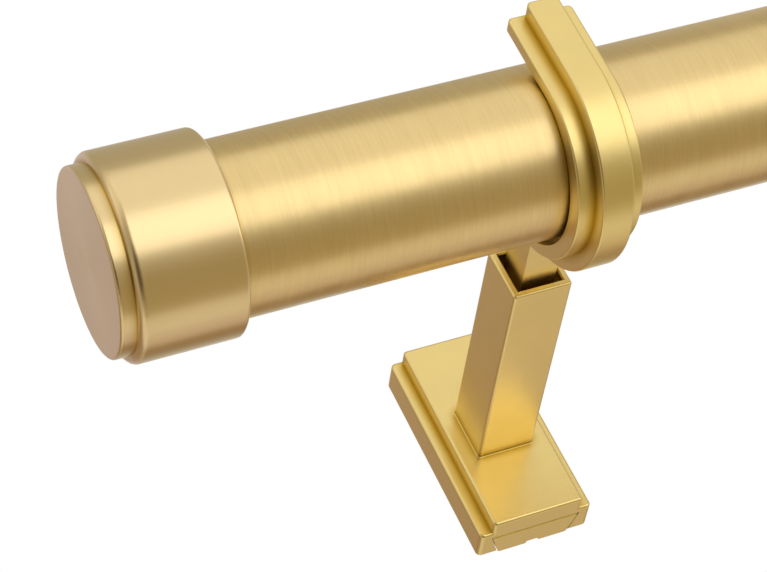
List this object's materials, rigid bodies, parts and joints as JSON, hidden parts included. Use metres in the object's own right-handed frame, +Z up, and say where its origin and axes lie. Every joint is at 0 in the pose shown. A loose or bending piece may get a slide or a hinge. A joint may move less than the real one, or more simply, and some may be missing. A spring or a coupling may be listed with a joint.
{
  "type": "curtain rod",
  "caption": "Satin brass curtain rod with flat turned end caps, held off the wall by adjustable hook brackets on dovetail wall plates.",
  "frame": {"origin": "middle of the left bracket's two screw holes, on the wall", "axes": "+X along the rod to the right as seen from the room, -Y from the wall into the room, +Z up"},
  "size_m": [0.7272, 0.1423, 0.0568],
  "materials": {
    "rod_brass": "brushed round the tube, lacquered",
    "cap_brass": "fine turned satin, lacquered",
    "cast_brass": "satin casting, lacquered",
    "screw_brass": "plain machined"
  },
  "bodies": {
    "wall_side": {"wall_plate_left": "cast_brass", "wall_plate_right": "cast_brass", "bracket_base_left": "cast_brass", "bracket_base_right": "cast_brass", "plate_screw_left": "screw_brass", "plate_screw_right": "screw_brass", "projection_screw_left": "screw_brass", "projection_screw_right": "screw_brass"},
    "rod_side": {"cradle_stem_left": "cast_brass", "cradle_stem_right": "cast_brass", "rod_cradle_left": "cast_brass", "rod_cradle_right": "cast_brass", "cradle_screw_left": "screw_brass", "cradle_screw_right": "screw_brass", "rod_screw_left": "screw_brass", "rod_screw_right": "screw_brass", "rod_tube": "rod_brass", "end_cap_left": "cap_brass", "end_cap_right": "cap_brass", "end_cap_screw_left": "screw_brass", "end_cap_screw_right": "screw_brass"}
  },
  "joints": [
    {"name": "projection_slide", "type": "slide", "parent": "wall_side", "child": "rod_side", "axis": [0, -1, 0], "range_m": [-0.0115, 0.025]}
  ]
}
